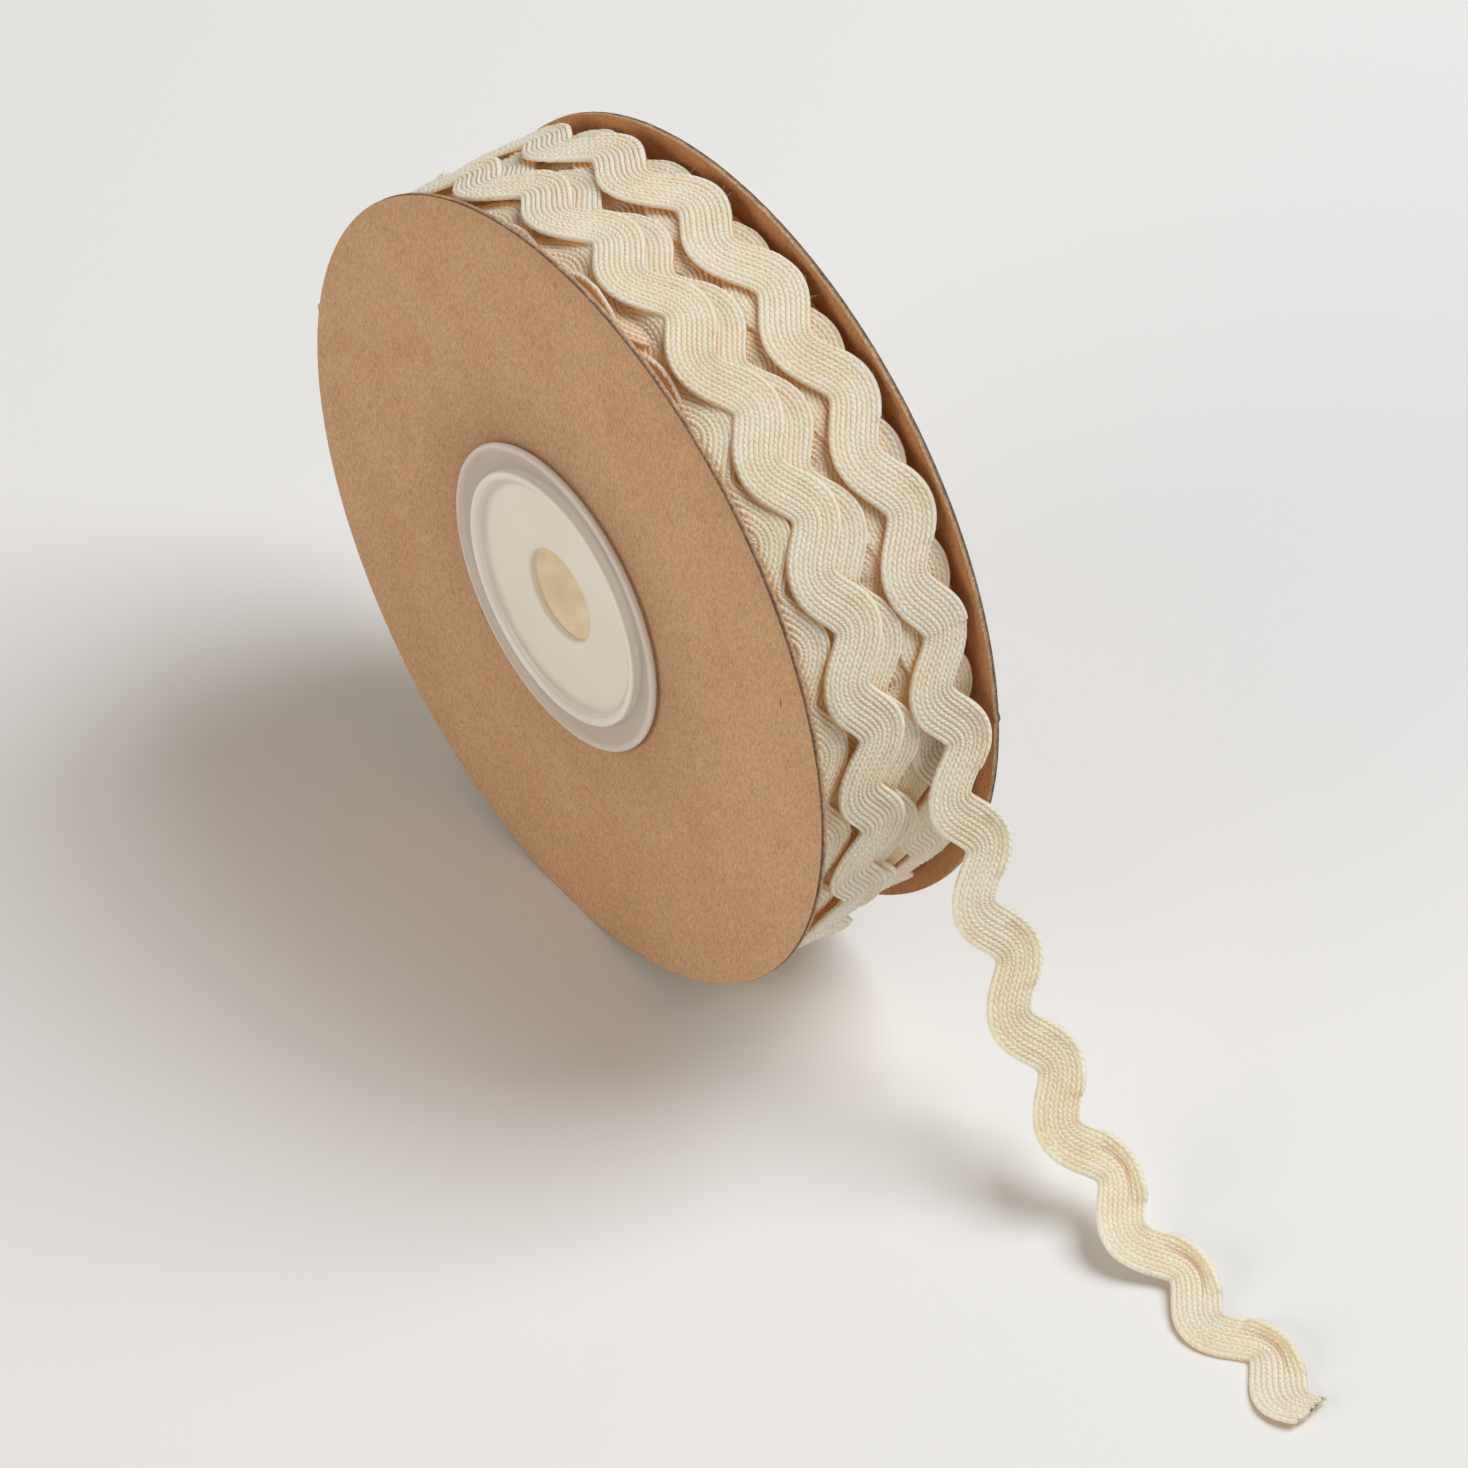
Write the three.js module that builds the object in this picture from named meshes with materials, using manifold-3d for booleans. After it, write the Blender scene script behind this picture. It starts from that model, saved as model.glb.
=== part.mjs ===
// A roll of ric rac: a wavy cotton braid wound between two kraft boards on a
// hollow plastic core, standing on its rims, with the loose end hanging off the
// front of the winding and lying on the surface.
//
// Millimetres, +Z up. The spool's axis runs along Y and the loose end leads off
// towards +X. The origin lies on the surface under the middle of the whole thing.
// Angles on the spool are in degrees from +X, rising over the top.

import * as THREE from 'three';
import { mergeVertices } from 'three/addons/utils/BufferGeometryUtils.js';
import Module from 'manifold-3d';

// Boards
const boardRadius = 51;
const boardThickness = 0.85;
const spoolWidth = 25.8;
const flatSpotWidth = 6;
const nubHeight = 0.35;
const nubWidth = 1.6;
const nearNubAngle = 168;
const farNubAngle = 5;

// Plastic core plugs
const sleeveRadius = 16.0;
const sleeveWall = 1.2;
const flangeRadius = 20.0;
const flangeThickness = 0.9;
const beadWidth = 1.0;
const beadHeight = 0.3;
const dishDepth = 1.1;
const dishThickness = 1.1;
const spindleHoleRadius = 6.1;
const rimChamfer = 0.3;

// Braid
const braidWidth = 6.2;
const braidThickness = 0.9;
const edgeFollow = 0.7;
const woundWave = { depth: 1.7, length: 15.0 };
const looseWave = { depth: 1.93, length: 14.55 };

// Winding
const fitGap = 0.3;
const drumRadius = 46.9;
const nearDrumRadius = 44.2;
const nearStepWidth = 3;
const nearSlopeWidth = 2;
const windingRoot = 38.5;
const turnSteps = 8;

// Each line is a place along the braid, counted in waves from the loose end's first
// free lobe: the angle wound so far, the middle of its row across the spool, how far
// out its face lies there, and how much the row leans over.
const winding = [
  { wave: 1.0, angle: 21.2, row: 6.4, top: 50.2, lean: 0 },
  { wave: 4.4, angle: 80.2, row: 6.3, top: 50.2, lean: 0 },
  { wave: 6.1, angle: 109.8, row: 5.0, top: 50.7, lean: 0 },
  { wave: 8.4, angle: 149.7, row: 4.4, top: 50.7, lean: 0 },
  { wave: 17.55, angle: 299.8, row: -4.9, top: 50.2, lean: 0 },
  { wave: 27.0, angle: 451.5, row: -4.9, top: 50.2, lean: 0 },
  { wave: 29.0, angle: 483.7, row: -6.0, top: 50.6, lean: 0 },
  { wave: 30.0, angle: 499.7, row: -6.0, top: 50.6, lean: 0 },
  { wave: 39.8, angle: 659.7, row: -1.8, top: 48.9, lean: 0 },
  { wave: 52.1, angle: 860.2, row: -1.8, top: 48.9, lean: 0 },
  { wave: 61.9, angle: 1020.2, row: 6.7, top: 48.0, lean: 0 },
  { wave: 73.4, angle: 1220.3, row: 6.7, top: 48.0, lean: 0 },
  { wave: 82.6, angle: 1379.5, row: -9.7, top: 44.3, lean: 65 },
  { wave: 95.0, angle: 1580.4, row: -9.7, top: 44.3, lean: 65 },
  { wave: 98.5, angle: 1640.0, row: -8.9, top: 43.0, lean: 40 },
];

// Loose end: the middle of the braid from the roll to the cut, out from the
// spool's axis, across it and up from the surface.
const looseRoute = [
  { out: 46.34, across: 6.4, up: 68.88 },
  { out: 47.8, across: 6.4, up: 64.6 },
  { out: 49.4, across: 6.4, up: 59.3 },
  { out: 51.1, across: 6.4, up: 53.6 },
  { out: 53.2, across: 6.5, up: 46.2 },
  { out: 55.8, across: 6.6, up: 38.4 },
  { out: 59.0, across: 6.7, up: 31.3 },
  { out: 63.1, across: 6.7, up: 24.2 },
  { out: 67.9, across: 6.8, up: 17.5 },
  { out: 72.9, across: 6.8, up: 12.1 },
  { out: 78.6, across: 6.9, up: 7.9 },
  { out: 84.7, across: 7.0, up: 4.6 },
  { out: 91.4, across: 7.0, up: 2.1 },
  { out: 98.2, across: 7.1, up: 0.9 },
  { out: 105.3, across: 7.2, up: 0.5 },
  { out: 112.3, across: 7.2, up: 0.6 },
  { out: 118.7, across: 7.3, up: 1.2 },
  { out: 122.5, across: 7.3, up: 1.6 },
];
const looseWaves = 7.7;
const looseSteps = 10;
const looseColumns = 4;
const curlStartWave = 4;
const curlHeight = 2.6;
const cutSlant = 0.9;

const roundSteps = 40;
const drumSteps = 90;
const mergeDistance = 1e-5;

const axisHeight = Math.sqrt(boardRadius ** 2 - (flatSpotWidth / 2) ** 2);
const windingHalfWidth = spoolWidth / 2 - boardThickness - fitGap;
const boreRadius = sleeveRadius + fitGap;

const kraft = { color: 0xb28b6a, roughness: 0.9, metalness: 0 };
const clearPlastic = { color: 0xd9cfbf, roughness: 0.4, metalness: 0 };
const cotton = { color: 0xe6dac2, roughness: 0.95, metalness: 0 };

function piece(name, geometry, look) {
  const mesh = new THREE.Mesh(geometry, new THREE.MeshStandardMaterial(look));
  mesh.name = name;
  return mesh;
}

function smoothStep(t) {
  return t * t * (3 - 2 * t);
}

// Joining

const manifold = await Module();
manifold.setup();

function toSolid(geometry) {
  const bare = geometry.clone();
  bare.deleteAttribute('normal');
  bare.deleteAttribute('uv');
  const merged = mergeVertices(bare, mergeDistance);
  return new manifold.Manifold(new manifold.Mesh({
    numProp: 3,
    vertProperties: new Float32Array(merged.attributes.position.array),
    triVerts: new Uint32Array(merged.index.array),
  }));
}

function toGeometry(solid) {
  const mesh = solid.getMesh();
  const geometry = new THREE.BufferGeometry();
  geometry.setAttribute('position', new THREE.Float32BufferAttribute(mesh.vertProperties, 3));
  geometry.setIndex(new THREE.Uint32BufferAttribute(mesh.triVerts, 1));
  return geometry;
}

// Kraft boards: a die-cut disc with a flat spot at the bottom, the small nub
// that the die leaves on its edge, and the bore for the core.

function boardOutline(nubAngle) {
  const outline = new THREE.Shape();
  const flatAngle = Math.asin(flatSpotWidth / 2 / boardRadius);
  const nub = THREE.MathUtils.degToRad(nubAngle);
  const nubHalf = nubWidth / 2 / boardRadius;
  const fromFlat = -Math.PI / 2 + flatAngle;
  const toFlat = 1.5 * Math.PI - flatAngle;
  outline.absarc(0, 0, boardRadius, fromFlat, nub - nubHalf, false);
  outline.lineTo((boardRadius + nubHeight) * Math.cos(nub), (boardRadius + nubHeight) * Math.sin(nub));
  outline.absarc(0, 0, boardRadius, nub + nubHalf, toFlat, false);
  outline.closePath();
  const bore = new THREE.Path();
  bore.absarc(0, 0, boreRadius, 0, 2 * Math.PI, true);
  outline.holes.push(bore);
  return outline;
}

function board(name, nubAngle, side) {
  const geometry = new THREE.ExtrudeGeometry(boardOutline(nubAngle), {
    depth: boardThickness,
    bevelEnabled: false,
    curveSegments: roundSteps,
  });
  geometry.rotateX(Math.PI / 2);
  const middle = side * (spoolWidth - boardThickness) / 2;
  geometry.translate(0, middle + boardThickness / 2, axisHeight);
  return piece(name, geometry, kraft);
}

// Core plugs: a flange outside the board, a bead round its middle, a sunk dish
// with the spindle hole, and a sleeve that reaches to the middle of the core.

function plugProfile() {
  const face = spoolWidth / 2 + fitGap;
  const flangeTop = face + flangeThickness;
  const dishTop = flangeTop - dishDepth;
  const bead = sleeveRadius;
  return [
    [spindleHoleRadius, dishTop - dishThickness],
    [sleeveRadius - sleeveWall, dishTop - dishThickness],
    [sleeveRadius - sleeveWall, fitGap / 2],
    [sleeveRadius, fitGap / 2],
    [sleeveRadius, face],
    [flangeRadius, face],
    [flangeRadius, flangeTop - rimChamfer],
    [flangeRadius - rimChamfer, flangeTop],
    [bead + beadWidth / 2, flangeTop],
    [bead + beadWidth / 4, flangeTop + beadHeight],
    [bead - beadWidth / 4, flangeTop + beadHeight],
    [bead - beadWidth / 2, flangeTop],
    [bead - beadWidth, dishTop],
    [spindleHoleRadius, dishTop],
    [spindleHoleRadius, dishTop - dishThickness],
  ].map(([radius, height]) => new THREE.Vector2(radius, height));
}

function plug(name, side) {
  const geometry = new THREE.LatheGeometry(plugProfile(), roundSteps);
  if (side < 0) {
    geometry.rotateX(Math.PI);
  }
  geometry.translate(0, 0, axisHeight);
  return piece(name, geometry, clearPlastic);
}

// Braid: a flat band that swings from side to side. Its edges turn part of the
// way with the wave, which rounds the lobes and sharpens the notches.

function braidPoint(wave, side, shape) {
  const phase = 2 * Math.PI * wave;
  const slope = -shape.depth * 2 * Math.PI / shape.length * Math.sin(phase);
  const turn = edgeFollow * Math.atan(slope);
  const reach = side * braidWidth / 2;
  return {
    along: -reach * Math.sin(turn),
    across: shape.depth * Math.cos(phase) + reach * Math.cos(turn),
  };
}

// A closed body through rings of points, each ring in the same order.
function sweptGeometry(rings) {
  const count = rings[0].length;
  const positions = rings.flat().flatMap((point) => [point.x, point.y, point.z]);
  const index = [];
  for (let ring = 0; ring + 1 < rings.length; ring += 1) {
    for (let k = 0; k < count; k += 1) {
      const a = ring * count + k;
      const b = ring * count + (k + 1) % count;
      index.push(a, a + count, b, b, a + count, b + count);
    }
  }
  const last = (rings.length - 1) * count;
  for (let k = 0; k + 1 < count / 2; k += 1) {
    const mate = count - 1 - k;
    index.push(k, k + 1, mate, k + 1, mate - 1, mate);
    index.push(last + k, last + mate, last + k + 1, last + k + 1, last + mate, last + mate - 1);
  }
  const geometry = new THREE.BufferGeometry();
  geometry.setAttribute('position', new THREE.Float32BufferAttribute(positions, 3));
  geometry.setIndex(index);
  return geometry;
}

function windingAt(wave) {
  const last = winding.length - 2;
  const found = winding.findIndex((place, k) => k <= last && wave <= winding[k + 1].wave);
  const from = winding[found < 0 ? last : found];
  const to = winding[(found < 0 ? last : found) + 1];
  const t = THREE.MathUtils.clamp((wave - from.wave) / (to.wave - from.wave), 0, 1);
  const eased = smoothStep(t);
  return {
    angle: THREE.MathUtils.lerp(from.angle, to.angle, t),
    row: THREE.MathUtils.lerp(from.row, to.row, eased),
    top: THREE.MathUtils.lerp(from.top, to.top, eased),
    lean: THREE.MathUtils.degToRad(THREE.MathUtils.lerp(from.lean, to.lean, eased)),
  };
}

function woundRing(wave) {
  const place = windingAt(wave);
  const corner = (side, root) => {
    const edge = braidPoint(wave, side, woundWave);
    const angle = THREE.MathUtils.degToRad(place.angle) + edge.along / place.top;
    const radius = root ? windingRoot : place.top + edge.across * Math.sin(place.lean);
    const across = place.row + edge.across * Math.cos(place.lean);
    return new THREE.Vector3(
      radius * Math.cos(angle),
      THREE.MathUtils.clamp(across, -windingHalfWidth, windingHalfWidth),
      radius * Math.sin(angle),
    );
  };
  return [corner(-1, true), corner(1, true), corner(1, false), corner(-1, false)];
}

function turnSolid(fromWave, toWave) {
  const steps = Math.round((toWave - fromWave) * turnSteps);
  const rings = [];
  for (let k = 0; k <= steps; k += 1) {
    rings.push(woundRing(fromWave + (toWave - fromWave) * k / steps));
  }
  return toSolid(sweptGeometry(rings));
}

// The wound braid: a drum of the turns that nothing shows of, bored for the core,
// and the outer turns as raised wavy rows that step down from one to the next.
function woundRicRac() {
  const half = windingHalfWidth;
  const profile = [
    [boreRadius, -half],
    [nearDrumRadius, -half],
    [nearDrumRadius, -half + nearStepWidth],
    [drumRadius, -half + nearStepWidth + nearSlopeWidth],
    [drumRadius, half],
    [boreRadius, half],
    [boreRadius, -half],
  ].map(([radius, height]) => new THREE.Vector2(radius, height));
  let solid = toSolid(new THREE.LatheGeometry(profile, drumSteps));
  const endWave = winding[winding.length - 1].wave;
  const wavesPerPiece = 14;
  const overlap = 0.25;
  for (let wave = winding[0].wave; wave < endWave; wave += wavesPerPiece) {
    const to = Math.min(wave + wavesPerPiece + overlap, endWave);
    solid = solid.add(turnSolid(wave, to));
  }
  const geometry = toGeometry(solid);
  geometry.translate(0, 0, axisHeight);
  return piece('wound_ric_rac', geometry, cotton);
}

// The loose end: the same braid along its route, its last lobes curled up at the
// far side and the end cut at a slant.
function looseEnd() {
  const route = new THREE.CatmullRomCurve3(
    looseRoute.map((place) => new THREE.Vector3(place.out, place.across, place.up)),
    false,
    'centripetal',
  );
  const length = route.getLength();
  const rings = [];
  const steps = Math.round(looseWaves * looseSteps);
  const aside = new THREE.Vector3(0, 1, 0);
  for (let k = 0; k <= steps; k += 1) {
    const waves = looseWaves * k / steps;
    const top = [];
    const under = [];
    for (let column = 0; column < looseColumns; column += 1) {
      const side = 2 * column / (looseColumns - 1) - 1;
      const edge = braidPoint(winding[0].wave - waves, side, looseWave);
      const slant = cutSlant * side * Math.max(0, 1 - (steps - k) / looseSteps);
      const run = fitGap + waves * looseWave.length - edge.along + slant;
      const at = THREE.MathUtils.clamp(run / length, 0, 1);
      const middle = route.getPointAt(at);
      const forward = route.getTangentAt(at);
      const across = aside.clone().addScaledVector(forward, -forward.y).normalize();
      const out = new THREE.Vector3().crossVectors(across, forward).negate();
      const curl = THREE.MathUtils.clamp((waves - curlStartWave) / (looseWaves - curlStartWave), 0, 1);
      const reach = Math.max(0, edge.across) / (braidWidth / 2 + looseWave.depth);
      const lift = curlHeight * curl * reach ** 3;
      const point = middle.addScaledVector(across, edge.across).addScaledVector(out, lift);
      top.push(point.clone().addScaledVector(out, braidThickness / 2));
      under.push(point.clone().addScaledVector(out, -braidThickness / 2));
    }
    rings.push([...top, ...under.reverse()]);
  }
  return piece('loose_end', sweptGeometry(rings), cotton);
}

const spool = new THREE.Group();
spool.add(
  board('near_board', nearNubAngle, -1),
  board('far_board', farNubAngle, 1),
  plug('near_plug', -1),
  plug('far_plug', 1),
  woundRicRac(),
  looseEnd(),
);

const extent = new THREE.Box3().setFromObject(spool);
spool.position.x = -(extent.min.x + extent.max.x) / 2;

export default spool;
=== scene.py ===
import bisect
import math
import random

import bmesh
import bpy
from mathutils import Matrix, Vector, geometry, noise


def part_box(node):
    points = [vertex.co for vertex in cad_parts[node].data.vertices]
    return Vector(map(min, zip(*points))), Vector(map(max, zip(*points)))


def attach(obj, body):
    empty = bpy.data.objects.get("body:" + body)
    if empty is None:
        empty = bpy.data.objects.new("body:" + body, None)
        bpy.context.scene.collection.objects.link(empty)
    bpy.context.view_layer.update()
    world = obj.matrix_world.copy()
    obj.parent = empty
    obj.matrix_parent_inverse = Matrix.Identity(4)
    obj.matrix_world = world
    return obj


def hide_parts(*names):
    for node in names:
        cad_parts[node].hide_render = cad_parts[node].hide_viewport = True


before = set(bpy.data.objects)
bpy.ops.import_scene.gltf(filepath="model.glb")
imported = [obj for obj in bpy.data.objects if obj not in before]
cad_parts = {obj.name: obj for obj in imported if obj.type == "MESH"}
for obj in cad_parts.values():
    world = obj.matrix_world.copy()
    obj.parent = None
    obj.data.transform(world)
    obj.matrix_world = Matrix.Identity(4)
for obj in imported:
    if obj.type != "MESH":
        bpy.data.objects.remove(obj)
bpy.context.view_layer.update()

# A roll of ric rac: cream cotton braid on a kraft board reel with a milky plastic
# core. Sizes are in millimetres until a mesh is finished, and angles round the
# reel are in degrees from +X, rising over the top. A pattern's scale is written as
# grains to the millimetre: 3 / MM makes three.

MM = 0.001

BOARD_RADIUS = 51.0
BOARD_THICKNESS = 0.85
REEL_WIDTH = 25.8
FLAT_SPOT = 6.0
NUB_HEIGHT = 0.35
NUB_WIDTH = 1.6
NUB_ANGLES = {"near_disc": 168.0, "far_disc": 5.0}
BORE_RADIUS = 16.3

SLEEVE_RADIUS = 16.0
SLEEVE_WALL = 1.2
FLANGE_RADIUS = 20.0
FLANGE_THICKNESS = 0.9
BEAD_RADIUS = 0.75
DISH_DEPTH = 1.1
DISH_THICKNESS = 1.1
SPINDLE_RADIUS = 6.1
FIT_GAP = 0.3
ROLLED_EDGE = 0.42
BEAD_HEIGHT = 0.3
FLANGE_DROP = 0.14
DISH_FILLET = 0.8
# Past this distance from the reel's middle plane the core's wall is dish, not sleeve.
DISH_START = 10.9

BAND_WIDTH = 6.2
BAND_THICKNESS = 0.9
CORDS = 10
CORD_RELIEF = 0.32
STITCHES_PER_WAVE = 24
STITCH_RELIEF = 0.14
STITCH_SLANT = 0.9
EDGE_FOLLOW = 0.7
WOUND_WAVE = {"depth": 1.7, "length": 15.0, "rim": 2.3}
LOOSE_WAVE = {"depth": 1.93, "length": 14.55, "rim": 2.4}
TURN_DOWN = {"line": -10.2, "bend": 1.05}

WINDING_HALF_WIDTH = REEL_WIDTH / 2 - BOARD_THICKNESS - FIT_GAP
DRUM_RADIUS = 46.9
DRUM_NEAR_RADIUS = 44.0
SLIP_SEED = 2
FIBRE_SEED = 11

plug_low, plug_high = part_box("near_plug")
AXIS_X = (plug_low[0] + plug_high[0]) / 2 / MM
AXIS_Z = (plug_low[2] + plug_high[2]) / 2 / MM

# Each line is a place along the braid, counted in waves from the loose end's first
# free lobe: the angle wound so far, the middle of its row across the reel, how far
# out its face lies there, and how much the row leans over.
WINDING = [
    {"wave": 1.0, "angle": 21.2, "row": 6.4, "top": 50.2, "lean": 0},
    {"wave": 4.4, "angle": 80.2, "row": 6.3, "top": 50.2, "lean": 0},
    {"wave": 6.1, "angle": 109.8, "row": 5.0, "top": 50.7, "lean": 0},
    {"wave": 8.4, "angle": 149.7, "row": 4.4, "top": 50.7, "lean": 0},
    {"wave": 17.55, "angle": 299.8, "row": -4.9, "top": 50.2, "lean": 0},
    {"wave": 27.0, "angle": 451.5, "row": -4.9, "top": 50.2, "lean": 0},
    {"wave": 29.0, "angle": 483.7, "row": -6.0, "top": 50.6, "lean": 0},
    {"wave": 30.0, "angle": 499.7, "row": -6.0, "top": 50.6, "lean": 0},
    {"wave": 39.8, "angle": 659.7, "row": -1.8, "top": 49.3, "lean": 0},
    {"wave": 49.0, "angle": 809.6, "row": -1.8, "top": 49.4, "lean": 0},
    {"wave": 52.1, "angle": 860.2, "row": -1.6, "top": 50.0, "lean": 0},
    {"wave": 61.9, "angle": 1020.2, "row": 6.7, "top": 48.8, "lean": 0},
    {"wave": 69.5, "angle": 1152.6, "row": 6.7, "top": 48.8, "lean": 0},
    {"wave": 73.4, "angle": 1220.3, "row": 6.5, "top": 49.9, "lean": 0},
    {"wave": 82.6, "angle": 1379.5, "row": -11.0, "top": 48.4, "lean": 0},
    {"wave": 87.0, "angle": 1450.8, "row": -11.2, "top": 49.0, "lean": 0},
    {"wave": 89.8, "angle": 1496.0, "row": -11.2, "top": 49.0, "lean": 4},
    {"wave": 91.2, "angle": 1518.7, "row": -10.4, "top": 47.0, "lean": 38},
    {"wave": 92.6, "angle": 1541.4, "row": -11.0, "top": 48.6, "lean": 8},
    {"wave": 95.0, "angle": 1580.4, "row": -11.2, "top": 48.8, "lean": 0},
    {"wave": 98.5, "angle": 1640.0, "row": -10.5, "top": 46.5, "lean": 10},
]

# Turns just below, which show between the rows above them.
INNER_WINDING = [
    {"wave": 0.0, "angle": 0.0, "row": 1.4, "top": 48.3, "lean": 0},
    {"wave": 24.0, "angle": 392.0, "row": 1.4, "top": 48.3, "lean": 0},
    {"wave": 28.0, "angle": 456.0, "row": -6.6, "top": 48.0, "lean": 0},
    {"wave": 50.5, "angle": 816.0, "row": -6.6, "top": 48.0, "lean": 0},
]

# A short stretch that stands on its edge against the near board.
EDGE_WINDING = [
    {"wave": 0.0, "angle": 51.0, "row": -10.9, "top": 44.4, "lean": 84},
    {"wave": 2.0, "angle": 85.0, "row": -11.1, "top": 45.7, "lean": 84},
    {"wave": 4.0, "angle": 119.0, "row": -10.9, "top": 44.6, "lean": 84},
]

# The loose end's middle from the roll to the cut: out from the reel's axis, across
# it and up from the surface.
LOOSE_ROUTE = [
    {"out": 46.34, "across": 6.4, "up": 68.88},
    {"out": 47.8, "across": 6.4, "up": 64.6},
    {"out": 49.4, "across": 6.4, "up": 59.3},
    {"out": 51.1, "across": 6.4, "up": 53.6},
    {"out": 53.2, "across": 6.5, "up": 46.2},
    {"out": 55.8, "across": 6.6, "up": 38.4},
    {"out": 59.0, "across": 6.7, "up": 31.3},
    {"out": 63.1, "across": 6.7, "up": 24.2},
    {"out": 67.9, "across": 6.8, "up": 17.5},
    {"out": 72.9, "across": 6.8, "up": 12.1},
    {"out": 78.6, "across": 6.9, "up": 7.9},
    {"out": 84.7, "across": 7.0, "up": 4.6},
    {"out": 91.4, "across": 7.0, "up": 2.1},
    {"out": 98.2, "across": 7.1, "up": 0.9},
    {"out": 105.3, "across": 7.2, "up": 0.5},
    {"out": 112.3, "across": 7.2, "up": 0.6},
    {"out": 118.7, "across": 7.3, "up": 1.2},
    {"out": 122.5, "across": 7.3, "up": 1.6},
]
LOOSE_WAVES = 7.7
CUT_SLANT = 0.9
FRAY = 0.3

MATH = "ShaderNodeMath"
MIX = "ShaderNodeMix"
# A Mix node's sockets for its share and its two colours.
FACTOR, FIRST, SECOND = 0, 6, 7


# Colour and nodes


def srgb(text):
    """A hex colour as linear red, green, blue and alpha."""
    parts = [int(text[k:k + 2], 16) / 255 for k in (1, 3, 5)]
    linear = [p / 12.92 if p <= 0.04045 else ((p + 0.055) / 1.055) ** 2.4 for p in parts]
    return (*linear, 1.0)


def add(tree, kind, inputs, stops=(), **settings):
    """Adds a node with its settings, its colour stops and its inputs: each of those is
    a number, a hex colour, a node or one of a node's outputs."""
    node = tree.nodes.new(kind)
    for name, value in settings.items():
        setattr(node, name, value)
    for place, (position, colour) in enumerate(stops):
        if place > 1:
            node.color_ramp.elements.new(position)
        node.color_ramp.elements[place].position = position
        node.color_ramp.elements[place].color = srgb(colour)
    for name, value in inputs.items():
        if isinstance(value, bpy.types.Node):
            value = next(output for output in value.outputs if output.enabled)
        if isinstance(value, bpy.types.NodeSocket):
            tree.links.new(value, node.inputs[name])
        else:
            node.inputs[name].default_value = srgb(value) if isinstance(value, str) else value
    return node


def new_material(name):
    """An empty material. Its faint glow is seen but isn't sampled as a lamp, which would be slow."""
    material = bpy.data.materials.new(name)
    material.cycles.emission_sampling = "NONE"
    material.use_nodes = True
    material.node_tree.nodes.clear()
    return material, material.node_tree


def from_axis(tree, split):
    """How far a point is from the reel's axis, in metres."""
    out = add(tree, MATH, {0: split.outputs["X"], 1: AXIS_X * MM}, operation="SUBTRACT")
    up = add(tree, MATH, {0: split.outputs["Z"], 1: AXIS_Z * MM}, operation="SUBTRACT")
    flat = add(tree, "ShaderNodeCombineXYZ", {"X": out, "Y": up})
    return add(tree, "ShaderNodeVectorMath", {0: flat}, operation="LENGTH").outputs["Value"]


# Materials


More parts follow.
